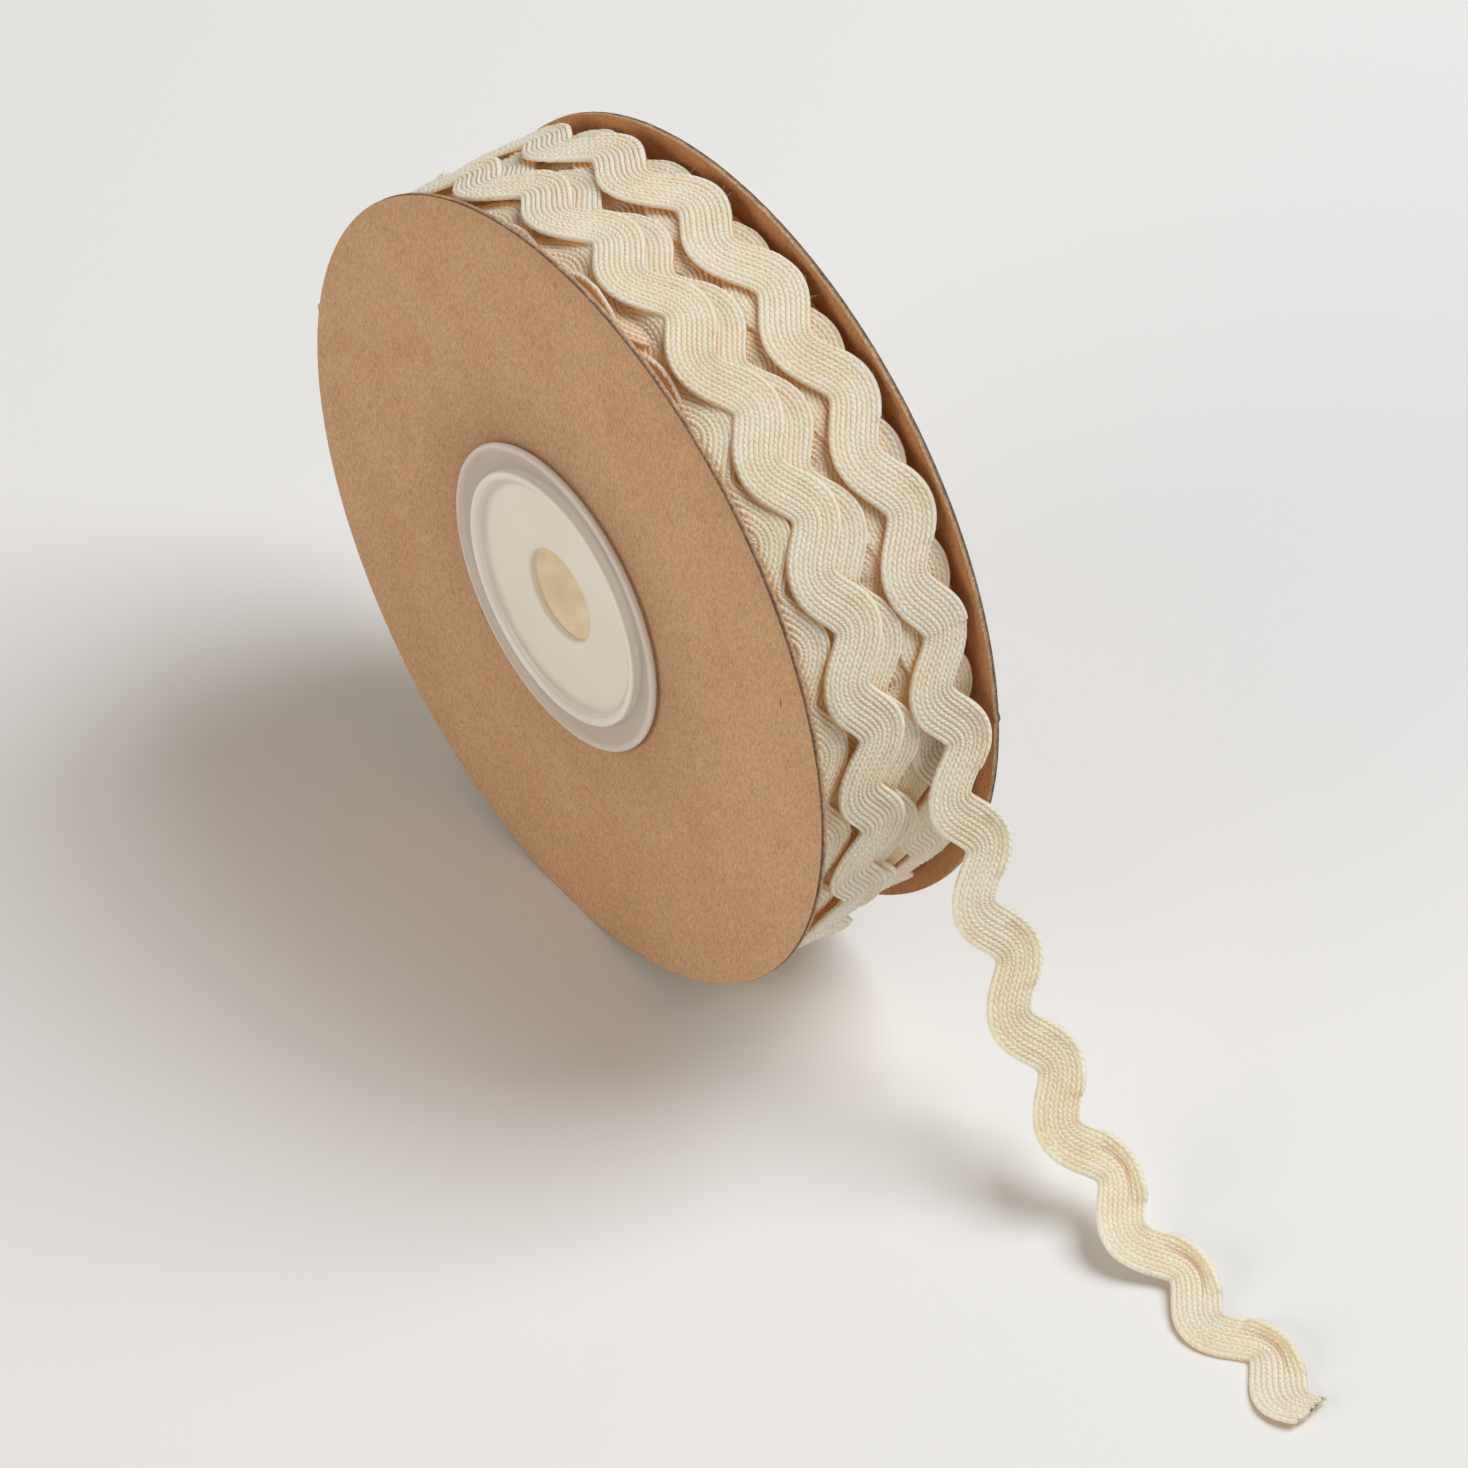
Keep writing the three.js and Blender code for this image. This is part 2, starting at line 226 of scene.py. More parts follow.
def cotton_braid():
    """Undyed cotton, plaited flat: matt, pale on the cords with painted tan shade between them, and
    painted golden, darker and faintly glowing where light reaches it only through other yarns."""
    material, tree = new_material("undyed cotton braid")
    place = add(tree, "ShaderNodeTexCoord", {}).outputs["Object"]
    split = add(tree, "ShaderNodeSeparateXYZ", {"Vector": place})
    radius = from_axis(tree, split)
    pattern = add(tree, "ShaderNodeUVMap", {}, uv_map="braid")
    flat = add(tree, "ShaderNodeSeparateXYZ", {"Vector": pattern})
    stitches, cords = flat.outputs["X"], flat.outputs["Y"]

    within = add(tree, MATH, {0: cords}, operation="FRACT")
    off = add(tree, MATH, {0: within, 1: 0.5}, operation="SUBTRACT")
    from_crown = add(tree, MATH, {0: off}, operation="ABSOLUTE")
    groove = add(tree, "ShaderNodeMapRange", {"Value": from_crown, "From Min": 0.2, "From Max": 0.5},
                 interpolation_type="SMOOTHSTEP")

    # The stitches slant one way on one cord and the other way on the next.
    number = add(tree, MATH, {0: cords}, operation="FLOOR")
    odd = add(tree, MATH, {0: number, 1: 2.0}, operation="MODULO")
    way = add(tree, MATH, {0: odd, 1: -2 * STITCH_SLANT, 2: STITCH_SLANT}, operation="MULTIPLY_ADD")
    slanted = add(tree, MATH, {0: off, 1: way, 2: stitches}, operation="MULTIPLY_ADD")
    count = add(tree, MATH, {0: odd, 1: 0.5, 2: slanted}, operation="MULTIPLY_ADD")
    turn = add(tree, MATH, {0: count, 1: 2 * math.pi}, operation="MULTIPLY")
    wave = add(tree, MATH, {0: turn}, operation="COSINE")
    stitch = add(tree, MATH, {0: wave, 1: 0.5, 2: 0.5}, operation="MULTIPLY_ADD")
    cell = add(tree, "ShaderNodeCombineXYZ",
               {"X": add(tree, MATH, {0: count, 1: 0.5}, operation="ADD"), "Y": number})
    whole = add(tree, "ShaderNodeVectorMath", {0: cell}, operation="FLOOR")
    chance = add(tree, "ShaderNodeTexWhiteNoise", {"Vector": whole}, noise_dimensions="3D")

    # Cotton fibres are under 0.02 mm thick, so they are drawn coarser to show.
    fibre = add(tree, "ShaderNodeTexNoise",
                {"Vector": place, "Scale": 2.6 / MM, "Detail": 2.0, "Roughness": 0.6})
    cloudy = add(tree, "ShaderNodeTexNoise",
                 {"Vector": place, "Scale": 0.12 / MM, "Detail": 3.0, "Roughness": 0.55})

    # The stitches' crowns are painted paler and the dips between them darker, as painted shade.
    cord = add(tree, MIX, {FACTOR: stitch, FIRST: "#f8e9cc", SECOND: "#fffbf0"}, data_type="RGBA")
    dull = add(tree, MATH, {0: chance, 1: 0.6}, operation="MULTIPLY")
    cord = add(tree, MIX, {FACTOR: dull, FIRST: cord, SECOND: "#f3e2c2"}, data_type="RGBA")
    uneven = add(tree, "ShaderNodeTexNoise", {"Vector": place, "Scale": 0.7 / MM, "Detail": 2.0})
    shade = add(tree, MATH, {0: groove, 1: uneven}, operation="MULTIPLY")
    # Off the roll, out on the loose end, less painted shade is laid in the grooves, so the end is painted
    # paler.
    groove_shade_off_roll = add(tree, "ShaderNodeMapRange", {
        "Value": radius, "From Min": 50.5 * MM, "From Max": 56.0 * MM, "To Min": 1.0, "To Max": 0.45})
    shade = add(tree, MATH, {0: shade, 1: groove_shade_off_roll}, operation="MULTIPLY")
    # Painted shade: the grooves between the cords are painted tan.
    colour = add(tree, MIX, {FACTOR: shade, FIRST: cord, SECOND: "#dcc296"}, data_type="RGBA")

    # The outermost cord on each side is tighter and paler.
    from_middle = add(tree, MATH, {0: cords, 1: CORDS / 2}, operation="SUBTRACT")
    from_middle = add(tree, MATH, {0: from_middle}, operation="ABSOLUTE")
    margin = add(tree, "ShaderNodeMapRange",
                 {"Value": from_middle, "From Min": 4.35, "From Max": 4.6, "To Max": 0.25})
    colour = add(tree, MIX, {FACTOR: margin, FIRST: colour, SECOND: "#fff7e6"}, data_type="RGBA")

    patch = add(tree, "ShaderNodeMapRange",
                {"Value": cloudy, "From Min": 0.45, "From Max": 0.75, "To Max": 0.35})
    colour = add(tree, MIX, {FACTOR: patch, FIRST: colour, SECOND: "#e3cfa6"},
                 data_type="RGBA", blend_type="MULTIPLY")

    # The gaps are painted golden and darker as shade, and given a faint painted glow, for light that has
    # gone from yarn to yarn there.
    open_sky = add(tree, "ShaderNodeAmbientOcclusion", {"Distance": 1.8 * MM}, samples=4)
    gap_shade_and_glow = add(tree, "ShaderNodeMapRange",
                 {"Value": open_sky.outputs["AO"], "From Min": 0.75, "From Max": 0.15, "To Max": 0.9})
    colour = add(tree, MIX, {FACTOR: gap_shade_and_glow, FIRST: colour, SECOND: "#f8d093"},
                 data_type="RGBA", blend_type="MULTIPLY")
    # How strongly the gaps glow: painted light.
    glow = add(tree, MATH, {0: gap_shade_and_glow, 1: 0.12}, operation="MULTIPLY")
    # The lower turns are painted golden and darker all over, as painted shade for the light that reaches
    # them only through other yarns.
    depth = add(tree, "ShaderNodeMapRange",
                {"Value": radius, "From Min": 49.2 * MM, "From Max": 46.4 * MM, "To Max": 0.85},
                interpolation_type="SMOOTHSTEP")
    colour = add(tree, MIX, {FACTOR: depth, FIRST: colour, SECOND: "#fbd9aa"},
                 data_type="RGBA", blend_type="MULTIPLY")

    # Yarn that lies open to the light is softened by it.
    soft = add(tree, "ShaderNodeMapRange", {
        "Value": radius, "From Min": 48.2 * MM, "From Max": 49.4 * MM, "To Min": 0.2, "To Max": 0.75})
    fine = add(tree, MATH, {0: fibre, 1: 0.6}, operation="MULTIPLY")
    height = add(tree, MATH, {0: stitch, 1: 0.5, 2: fine}, operation="MULTIPLY_ADD")
    bump = add(tree, "ShaderNodeBump", {"Height": height, "Strength": 1.0, "Distance": 0.15 * MM})
    shader = add(tree, "ShaderNodeBsdfPrincipled", {
        "Base Color": colour, "Roughness": 0.85, "Specular IOR Level": 0.2, "Sheen Weight": 0.1,
        "Sheen Roughness": 0.5, "Subsurface Weight": soft, "Subsurface Radius": (1.0, 0.84, 0.64),
        "Subsurface Scale": 1.1 * MM, "Emission Color": "#dcab68", "Emission Strength": glow,
        "Normal": bump})
    add(tree, "ShaderNodeOutputMaterial", {"Surface": shader})
    return material


def kraft_board():
    """Uncoated kraft board: matt brown with fine fibres and a few dark flecks."""
    material, tree = new_material("uncoated kraft board")
    place = add(tree, "ShaderNodeTexCoord", {}).outputs["Object"]
    stretched = add(tree, "ShaderNodeMapping",
                    {"Vector": place, "Rotation": (0.0, 0.6, 0.0), "Scale": (1.0, 1.0, 0.3)})
    # Wood fibres are about 0.03 mm thick, so grain and fibres are drawn coarser to show.
    grain = add(tree, "ShaderNodeTexNoise",
                {"Vector": place, "Scale": 3 / MM, "Detail": 3.0, "Roughness": 0.75})
    fibre = add(tree, "ShaderNodeTexNoise", {
        "Vector": stretched, "Scale": 4.2 / MM, "Detail": 2.0, "Roughness": 0.6, "Distortion": 0.6})
    cloudy = add(tree, "ShaderNodeTexNoise",
                 {"Vector": place, "Scale": 0.13 / MM, "Detail": 4.0, "Roughness": 0.6})
    fleck = add(tree, "ShaderNodeTexVoronoi", {"Vector": stretched, "Scale": 0.17 / MM})

    colour = add(tree, "ShaderNodeValToRGB", {"Fac": grain},
                 stops=[(0.3, "#bd9470"), (0.5, "#caa37f"), (0.72, "#d5b18e")])
    fine = add(tree, "ShaderNodeValToRGB", {"Fac": fibre},
               stops=[(0.3, "#c9c0b5"), (0.55, "#ffffff"), (0.8, "#fff9f0")])
    colour = add(tree, MIX, {FACTOR: 0.6, FIRST: colour, SECOND: fine},
                 data_type="RGBA", blend_type="MULTIPLY")
    broad = add(tree, "ShaderNodeValToRGB", {"Fac": cloudy},
                stops=[(0.35, "#f7f4ef"), (0.65, "#ffffff")])
    colour = add(tree, MIX, {FACTOR: 0.8, FIRST: colour, SECOND: broad},
                 data_type="RGBA", blend_type="MULTIPLY")
    dot = add(tree, MATH, {0: fleck, 1: 0.035}, operation="LESS_THAN")
    chance = add(tree, "ShaderNodeTexWhiteNoise", {"Vector": fleck.outputs["Position"]})
    rare = add(tree, MATH, {0: chance, 1: 0.6}, operation="GREATER_THAN")
    dot = add(tree, MATH, {0: dot, 1: rare}, operation="MULTIPLY")
    dot = add(tree, MATH, {0: dot, 1: 0.6}, operation="MULTIPLY")
    colour = add(tree, MIX, {FACTOR: dot, FIRST: colour, SECOND: "#6f4a32"}, data_type="RGBA")

    # The inner faces are painted darker and more golden, as painted shade for light that reaches them only
    # off brown board and cream yarn.
    split = add(tree, "ShaderNodeSeparateXYZ", {"Vector": place})
    across = add(tree, MATH, {0: split.outputs["Y"]}, operation="ABSOLUTE")
    inner_face = REEL_WIDTH / 2 - BOARD_THICKNESS
    inner = add(tree, MATH, {0: across, 1: (inner_face + 0.1) * MM}, operation="LESS_THAN")
    colour = add(tree, MIX, {FACTOR: inner, FIRST: colour, SECOND: "#f6dfc0"},
                 data_type="RGBA", blend_type="MULTIPLY")

    height = add(tree, MATH, {0: grain, 1: fibre}, operation="ADD")
    bump = add(tree, "ShaderNodeBump", {"Height": height, "Strength": 0.3, "Distance": 0.05 * MM})
    shader = add(tree, "ShaderNodeBsdfPrincipled", {
        "Base Color": colour, "Roughness": 0.88, "Specular IOR Level": 0.25, "Normal": bump})
    add(tree, "ShaderNodeOutputMaterial", {"Surface": shader})
    return material


def cut_board_edge():
    """The die-cut edge of kraft board, speckled and fuzzy: grey-brown on its outer side as painted
    shade, and lighter towards the inner face as painted light."""
    material, tree = new_material("die-cut board edge")
    place = add(tree, "ShaderNodeTexCoord", {}).outputs["Object"]
    split = add(tree, "ShaderNodeSeparateXYZ", {"Vector": place})
    speck = add(tree, "ShaderNodeTexNoise",
                {"Vector": place, "Scale": 2.4 / MM, "Detail": 3.0, "Roughness": 0.7})
    uneven = add(tree, "ShaderNodeTexNoise", {"Vector": place, "Scale": 0.5 / MM, "Detail": 2.0})
    across = add(tree, MATH, {0: split.outputs["Y"]}, operation="ABSOLUTE")
    across = add(tree, MATH, {0: uneven, 1: 0.5 * MM, 2: across}, operation="MULTIPLY_ADD")
    outer = REEL_WIDTH / 2
    # The outer side is painted dark as shade, and the inner side light tan as painted light.
    shaded_outer_side = add(tree, "ShaderNodeMapRange", {
        "Value": across, "From Min": (outer - 0.35) * MM, "From Max": (outer + 0.05) * MM},
        interpolation_type="SMOOTHSTEP")
    lit_inner_tones = add(tree, "ShaderNodeValToRGB", {"Fac": speck},
               stops=[(0.35, "#a98663"), (0.55, "#c4a27c"), (0.75, "#e2c8a6")])
    dark = add(tree, "ShaderNodeValToRGB", {"Fac": speck},
               stops=[(0.35, "#5c483b"), (0.55, "#75604f"), (0.78, "#a48d78")])
    colour = add(tree, MIX, {FACTOR: shaded_outer_side, FIRST: lit_inner_tones, SECOND: dark}, data_type="RGBA")
    bump = add(tree, "ShaderNodeBump", {"Height": speck, "Strength": 0.7, "Distance": 0.1 * MM})
    shader = add(tree, "ShaderNodeBsdfPrincipled", {
        "Base Color": colour, "Roughness": 0.95, "Specular IOR Level": 0.2, "Normal": bump})
    add(tree, "ShaderNodeOutputMaterial", {"Surface": shader})
    return material


def milky_polypropylene():
    """Natural polypropylene, moulded: milky and see-through where it is thin,
    with a soft shine and a faint haze."""
    material, tree = new_material("natural polypropylene")
    place = add(tree, "ShaderNodeTexCoord", {}).outputs["Object"]
    split = add(tree, "ShaderNodeSeparateXYZ", {"Vector": place})
    radius = from_axis(tree, split)
    haze = add(tree, "ShaderNodeTexNoise", {"Vector": place, "Scale": 0.09 / MM, "Detail": 2.0})
    colour = add(tree, "ShaderNodeValToRGB", {"Fac": haze},
                 stops=[(0.35, "#f4efe4"), (0.65, "#faf6ec")])

    # The thin flange lets the board show through, less so at its thicker rim.
    on_flange = add(tree, "ShaderNodeMapRange", {
        "Value": radius, "From Min": (SLEEVE_RADIUS + 0.2) * MM, "From Max": (SLEEVE_RADIUS + 0.7) * MM,
        "To Min": 0.9, "To Max": 0.32}, interpolation_type="SMOOTHSTEP")
    at_rim = add(tree, "ShaderNodeMapRange", {
        "Value": radius, "From Min": (FLANGE_RADIUS - 1.1) * MM, "From Max": (FLANGE_RADIUS - 0.3) * MM,
        "To Min": 0.0, "To Max": 0.3}, interpolation_type="SMOOTHSTEP")
    opacity = add(tree, MATH, {0: on_flange, 1: at_rim}, operation="ADD")

    # Within the bead the plastic is either the dish or the sleeve.
    across = add(tree, MATH, {0: split.outputs["Y"]}, operation="ABSOLUTE")
    deep = add(tree, MATH, {0: radius, 1: (SLEEVE_RADIUS + 0.1) * MM}, operation="LESS_THAN")
    dish = add(tree, MATH, {0: across, 1: DISH_START * MM}, operation="GREATER_THAN")
    dish = add(tree, MATH, {0: deep, 1: dish}, operation="MULTIPLY")
    sleeve = add(tree, MATH, {0: deep, 1: dish}, operation="SUBTRACT")
    opacity = add(tree, MATH, {0: sleeve, 1: -0.2, 2: opacity}, operation="MULTIPLY_ADD")

    # The inner wall is given a painted, mottled warm glow, for the light that comes through the milky
    # shell.
    inside = add(tree, MATH, {0: radius, 1: (SLEEVE_RADIUS - 0.5) * MM}, operation="LESS_THAN")
    inside = add(tree, MATH, {0: inside, 1: sleeve}, operation="MULTIPLY")
    glow = add(tree, MATH, {0: inside, 1: 0.38}, operation="MULTIPLY")
    # Mottling of the painted glow.
    behind = add(tree, "ShaderNodeTexNoise", {"Vector": place, "Scale": 0.42 / MM, "Detail": 3.0})
    painted_glow_tones = add(tree, "ShaderNodeValToRGB", {"Fac": behind},
               stops=[(0.3, "#cdb48c"), (0.5, "#e8d4b2"), (0.7, "#f3e6cc")])
    bump = add(tree, "ShaderNodeBump", {"Height": haze, "Strength": 0.12, "Distance": 0.2 * MM})
    shader = add(tree, "ShaderNodeBsdfPrincipled", {
        "Base Color": colour, "Roughness": 0.34, "IOR": 1.49, "Specular IOR Level": 0.5,
        "Alpha": opacity, "Subsurface Weight": 0.6, "Subsurface Radius": (1.0, 0.92, 0.8),
        "Subsurface Scale": 3.0 * MM, "Emission Color": painted_glow_tones, "Emission Strength": glow,
        "Normal": bump})
    through = add(tree, "ShaderNodeBsdfTranslucent", {"Color": "#fff2dc"})
    share = add(tree, MATH, {0: dish, 1: 0.12}, operation="MULTIPLY")
    surface = add(tree, "ShaderNodeMixShader", {0: share, 1: shader, 2: through})
    add(tree, "ShaderNodeOutputMaterial", {"Surface": surface})
    return material


def pale_floor():
    """Pale matt paper: even, with no shine."""
    material, tree = new_material("pale matt paper")
    shader = add(tree, "ShaderNodeBsdfPrincipled", {
        "Base Color": "#f0f0ee", "Roughness": 0.9, "Specular IOR Level": 0.1})
    add(tree, "ShaderNodeOutputMaterial", {"Surface": shader})
    return material


# Meshes


def finish_piece(name, mesh, materials, node, smooth=True):
    """A bmesh in millimetres becomes a piece in metres that stands for a node."""
    bmesh.ops.scale(mesh, vec=(MM, MM, MM), verts=mesh.verts)
    for face in mesh.faces:
        face.smooth = smooth
    data = bpy.data.meshes.new(name)
    mesh.to_mesh(data)
    mesh.free()
    for material in materials:
        data.materials.append(material)
    piece = bpy.data.objects.new(name, data)
    bpy.context.scene.collection.objects.link(piece)
    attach(piece, "root")
    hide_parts(node)
    return piece


def smooth_step(t):
    t = min(1.0, max(0.0, t))
    return t * t * (3 - 2 * t)


def lerp(a, b, t):
    return a + (b - a) * t


def wander(at, seed, size):
    """A smooth chance value along the braid, from -size to size."""
    return noise.noise(Vector((at, seed * 7.31, seed * 1.7))) * 2 * size


def cord_round(rib):
    """How high a round cord stands at a place across it, from 0 in the groove to 1."""
    return math.sqrt(max(0.0, 1 - (2 * (rib % 1) - 1) ** 2))


def band_section(under_per_cord):
    """The band's cut across as (side from -1 to 1, height, cord place, whether above), in
    order round it: round cords above and flatter ones below."""
    per_cord = 4
    half = BAND_THICKNESS / 2
    above = [(k / per_cord, 1) for k in range(CORDS * per_cord + 1)]
    below = [(CORDS - k / under_per_cord, 0) for k in range(1, CORDS * under_per_cord)]
    section = []
    for rib, top in above + below:
        side = 2 * rib / CORDS - 1
        crown = half * math.sqrt(1 - side ** 6)
        dip = CORD_RELIEF * (1 - cord_round(rib))
        height = crown - dip if top else 0.5 * dip - crown
        section.append((side, height, rib, top))
    return section


def stitch_dip(wave, rib):
    """How far the face dips between the slanting stitches of a cord."""
    odd = int(rib) % 2
    slant = -STITCH_SLANT if odd else STITCH_SLANT
    count = wave * STITCHES_PER_WAVE + slant * (rib % 1 - 0.5) + 0.5 * odd
    tight = 0.35 if rib < 1 or rib > CORDS - 1 else 1.0
    return tight * STITCH_RELIEF * cord_round(rib) * (0.5 - 0.5 * math.cos(2 * math.pi * count))


def braid_mesh(first, last, steps_per_wave, section, place, stitched=True):
    """A closed ribbed band from one wave to another; place gives a point for a wave,
    a side and a height."""
    steps = round(abs(last - first) * steps_per_wave)
    around = len(section)
    mesh = bmesh.new()
    layer = mesh.loops.layers.uv.new("braid")
    bmesh.ops.create_grid(mesh, x_segments=steps, y_segments=around, size=1.0)
    patterns = {}
    for vertex in mesh.verts:
        step = round((vertex.co.x + 1) / 2 * steps)
        turn = round((vertex.co.y + 1) / 2 * around)
        wave = first + (last - first) * step / steps
        side, height, rib, top = section[turn % around]
        if stitched and top:
            spread = max(0.0, side * math.cos(2 * math.pi * wave))
            height += 0.55 * spread * CORD_RELIEF * (1 - cord_round(rib)) - stitch_dip(wave, rib)
            height += cord_round(rib) * wander(wave * 3.1, 40 + int(rib), 0.05)
            height += spread * wander(wave * STITCHES_PER_WAVE * 0.9, rib * 0.16, 0.07)
            side += wander(wave * 2.3, rib * 0.1, 0.018)
        vertex.co = place(wave, side, height)
        patterns[vertex] = (wave * STITCHES_PER_WAVE, rib)
    for face in mesh.faces:
        for loop in face.loops:
            loop[layer].uv = patterns[loop.vert]
    bmesh.ops.remove_doubles(mesh, verts=mesh.verts, dist=1e-6)
    rims = [edge for edge in mesh.edges if edge.is_boundary]
    bmesh.ops.holes_fill(mesh, edges=rims, sides=0)
    for edge in rims:
        edge.smooth = False
    bmesh.ops.recalc_face_normals(mesh, faces=mesh.faces)
    return mesh


def braid_point(wave, side, height, shape, curl, bend):
    """A point of the flat band: how far along, across and up it lies. Its edges turn part
    of the way with the wave, and the rim of each lobe on one side curls up."""
    phase = 2 * math.pi * wave
    slope = -shape["depth"] * 2 * math.pi / shape["length"] * math.sin(phase)
    turn = EDGE_FOLLOW * math.atan(slope)
    reach = side * BAND_WIDTH / 2
    excess = max(0.0, reach - BAND_WIDTH / 2 + shape["rim"])
    angle = min(excess / bend, curl * max(0.0, math.cos(phase)) ** 0.6)
    straight = excess - angle * bend
    reach += bend * math.sin(angle) + straight * math.cos(angle) - excess - height * math.sin(angle)
    up = bend * (1 - math.cos(angle)) + straight * math.sin(angle) + height * math.cos(angle)
    return -reach * math.sin(turn), shape["depth"] * math.cos(phase) + reach * math.cos(turn), up


# The winding


def winding_at(table, wave):
    """The row's angle, middle, face radius and lean at a wave."""
    pairs = list(zip(table, table[1:]))
    start, end = next((pair for pair in pairs if wave <= pair[1]["wave"]), pairs[-1])
    t = min(1.0, max(0.0, (wave - start["wave"]) / (end["wave"] - start["wave"])))
    eased = smooth_step(t)
    return (lerp(start["angle"], end["angle"], t), lerp(start["row"], end["row"], eased),
            lerp(start["top"], end["top"], eased), math.radians(lerp(start["lean"], end["lean"], eased)))


def wound_place(table, seed, curl):
    """Places points of a band on the reel, with the small slips of a real winding."""
    def place(wave, side, height):
        angle, row, top, lean = winding_at(table, wave)
        settle = smooth_step((wave - table[0]["wave"]) / 1.5)
        slip = settle * wander(wave * 0.31, seed, 0.02)
        lobe_curl = curl * (1 + wander(wave * 0.9, seed + 13, 0.6))
        along, across, up = braid_point(wave + slip, side, height, WOUND_WAVE, lobe_curl, 4.0)
        row += settle * wander(wave * 0.22, seed + 3, 0.35)
        top += settle * wander(wave * 0.6, seed + 5, 0.12)
        tilt = lean + settle * wander(wave * 0.5, seed + 9, 0.05)
        turn = math.radians(angle) + along / top
        out = top - BAND_THICKNESS / 2 + across * math.sin(tilt)
        over = row + across * math.cos(tilt)
        # What would run into the near board turns down along it.
        excess = max(0.0, TURN_DOWN["line"] - over)
        down = min(excess / TURN_DOWN["bend"], math.pi / 2)
        if excess > 0:
            straight = excess - down * TURN_DOWN["bend"]
            over = TURN_DOWN["line"] - TURN_DOWN["bend"] * math.sin(down) - straight * math.cos(down)
            out -= TURN_DOWN["bend"] * (1 - math.cos(down)) + straight * math.sin(down)
        out += up * math.cos(tilt + down)
        over -= up * math.sin(tilt + down)
        over = min(WINDING_HALF_WIDTH, max(-WINDING_HALF_WIDTH, over))
        return Vector((AXIS_X + out * math.cos(turn), over, AXIS_Z + out * math.sin(turn)))
    return place


def wound_rows(cotton):
    """The turns that show, from the outermost inwards. Each starts where the one before
    it ends, low at the back of the reel."""
    section = band_section(1)
    rows = [
        ("outer_row", WINDING, 1.0, 15.5, 4, 0.5),
        ("second_row", WINDING, 15.5, 36.0, 4, 0.4),
        ("third_row", WINDING, 36.0, 58.5, 2, 0.2),
        ("fourth_row", WINDING, 58.5, 80.5, 2, 0.2),
        ("near_row", WINDING, 80.5, 98.5, 2, 0.1),
        ("edge_turn", EDGE_WINDING, 0.6, 3.4, 2, 0.0),
    ]
    for name, table, first, last, steps_per_stitch, curl in rows:
        steps = steps_per_stitch * STITCHES_PER_WAVE
        mesh = braid_mesh(first, last, steps, section, wound_place(table, SLIP_SEED, curl))
        finish_piece(name, mesh, [cotton], "wound_ric_rac")
    mesh = braid_mesh(INNER_WINDING[0]["wave"], INNER_WINDING[-1]["wave"], 16, section,
                      wound_place(INNER_WINDING, SLIP_SEED, 0.0), stitched=False)
    finish_piece("inner_rows", mesh, [cotton], "wound_ric_rac")


def stray_fibres(cotton):
    """Short hairs that stand off the lobes' rims here and there."""
    chance = random.Random(FIBRE_SEED)
    place = wound_place(WINDING, SLIP_SEED, 0.5)
    mesh = bmesh.new()
    for first, last, count in ((1.5, 10.5, 90), (25.0, 31.0, 60)):
        for _ in range(count):
            wave = chance.uniform(first, last)
            side = chance.choice((-1, 1))
            root = place(wave, side * 0.97, 0.1)
            outward = (root - place(wave, side * 0.8, -0.25)).normalized()
            lean = Vector([chance.uniform(-0.8, 0.8) for axis in range(3)])
            way = (outward + lean).normalized()
            length = chance.uniform(0.3, 1.1)
            turned = way.to_track_quat("Z", "Y").to_matrix().to_4x4()
            spot = Matrix.Translation(root + way * length * 0.45) @ turned
            bmesh.ops.create_cone(mesh, cap_ends=True, segments=4, radius1=0.028, radius2=0.012,
                                  depth=length, matrix=spot)
    finish_piece("stray_fibres", mesh, [cotton], "wound_ric_rac")


def lathe(profile, steps):
    """A closed ring turned round the reel's axis from a profile of (radius, across)."""
    mesh = bmesh.new()
    verts = [mesh.verts.new((radius, across, 0.0)) for radius, across in profile]
    edges = [mesh.edges.new((verts[k], verts[(k + 1) % len(verts)])) for k in range(len(verts))]
    bmesh.ops.spin(mesh, geom=verts + edges, cent=(0, 0, 0), axis=(0, 1, 0), angle=2 * math.pi,
                   steps=steps, use_merge=True)
    bmesh.ops.remove_doubles(mesh, verts=mesh.verts, dist=1e-5)
    bmesh.ops.recalc_face_normals(mesh, faces=mesh.faces)
    return mesh


def winding_drum(cotton):
    """The turns of which next to nothing shows: a drum behind the rows, lower towards the
    near board."""
    half = WINDING_HALF_WIDTH
    profile = [
        (BORE_RADIUS, -half), (DRUM_NEAR_RADIUS, -half), (DRUM_NEAR_RADIUS + 0.6, -half + 3.0),
        (DRUM_RADIUS, -half + 5.0), (DRUM_RADIUS, half), (BORE_RADIUS, half),
    ]
    mesh = lathe(profile, 120)
    layer = mesh.loops.layers.uv.new("braid")
    cord_width = BAND_WIDTH / CORDS
    stitch_length = WOUND_WAVE["length"] / STITCHES_PER_WAVE
    for face in mesh.faces:
        for loop in face.loops:
            spot = loop.vert.co
            run = math.atan2(spot.z, spot.x) * DRUM_RADIUS
            loop[layer].uv = (run / stitch_length, spot.y / cord_width)
    bmesh.ops.translate(mesh, vec=(AXIS_X, 0, AXIS_Z), verts=mesh.verts)
    finish_piece("winding_drum", mesh, [cotton], "wound_ric_rac", smooth=False)


# The loose end


def smooth_route():
    """The loose end's middle line as close points, the way it heads at each, and the run
    up to each."""
    spots = [Vector((AXIS_X + p["out"], p["across"], p["up"])) for p in LOOSE_ROUTE]
    ends = [spots[0] * 2 - spots[1], *spots, spots[-1] * 2 - spots[-2]]
    points = [spots[0]]
    for before, start, end, after in zip(ends, ends[1:], ends[2:], ends[3:]):
        points += geometry.interpolate_bezier(start, start + (end - before) / 6, end - (after - start) / 6,
                                              end, 13)[1:]
    headings = [(after - before).normalized() for before, after in zip(points, points[2:])]
    headings = [headings[0], *headings, headings[-1]]
    runs = [0.0]
    for a, b in zip(points, points[1:]):
        runs.append(runs[-1] + (b - a).length)
    return points, headings, runs


